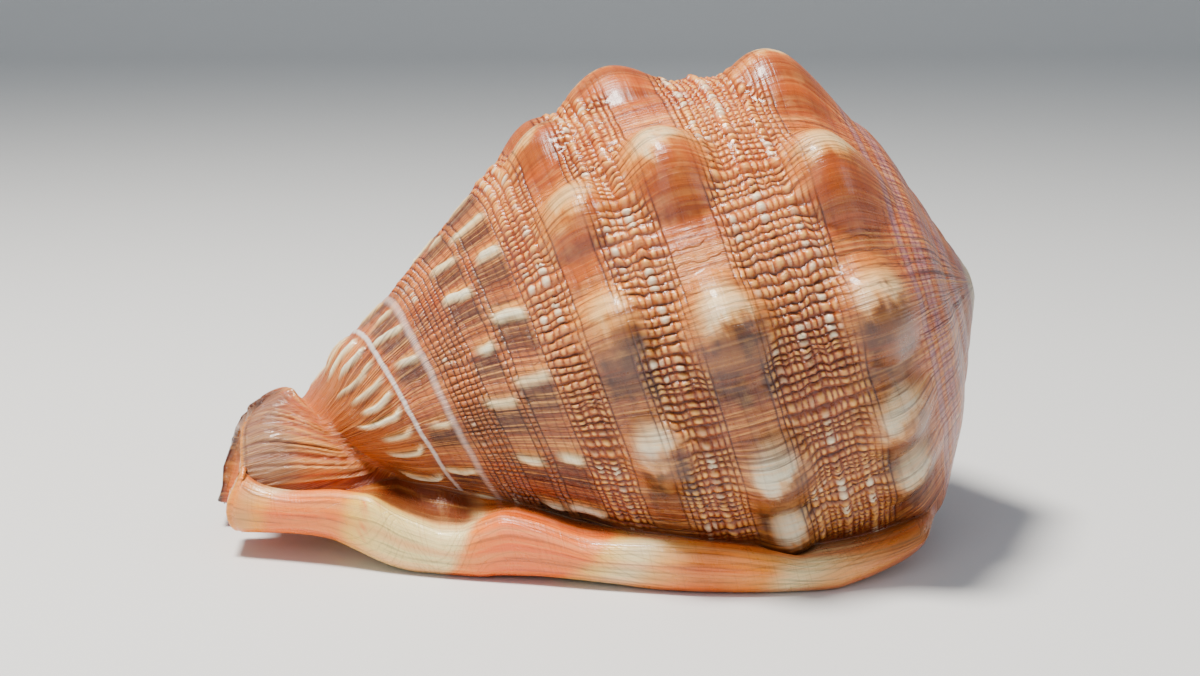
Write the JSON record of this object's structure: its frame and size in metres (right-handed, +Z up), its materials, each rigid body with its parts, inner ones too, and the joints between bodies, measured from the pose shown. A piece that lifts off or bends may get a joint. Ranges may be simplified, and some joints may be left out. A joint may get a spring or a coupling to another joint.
{
  "type": "bullmouth helmet shell",
  "caption": "Large heavy sea snail shell with rows of blunt knobs, a broad flat mouth shield and a toothed slit, lying mouth down.",
  "frame": {"origin": "centre of the shell's bounding box, on the plane that its mouth side rests on", "axes": "+X towards the coiled pointed end, -X towards the canal, +Y towards the outer lip, -Y towards the shield, +Z up"},
  "size_m": [0.1528, 0.1194, 0.0966],
  "materials": {
    "shell": "polished salmon brown and cream shell with a silky gloss"
  },
  "bodies": {
    "root": {"shell": "shell"}
  },
  "joints": []
}
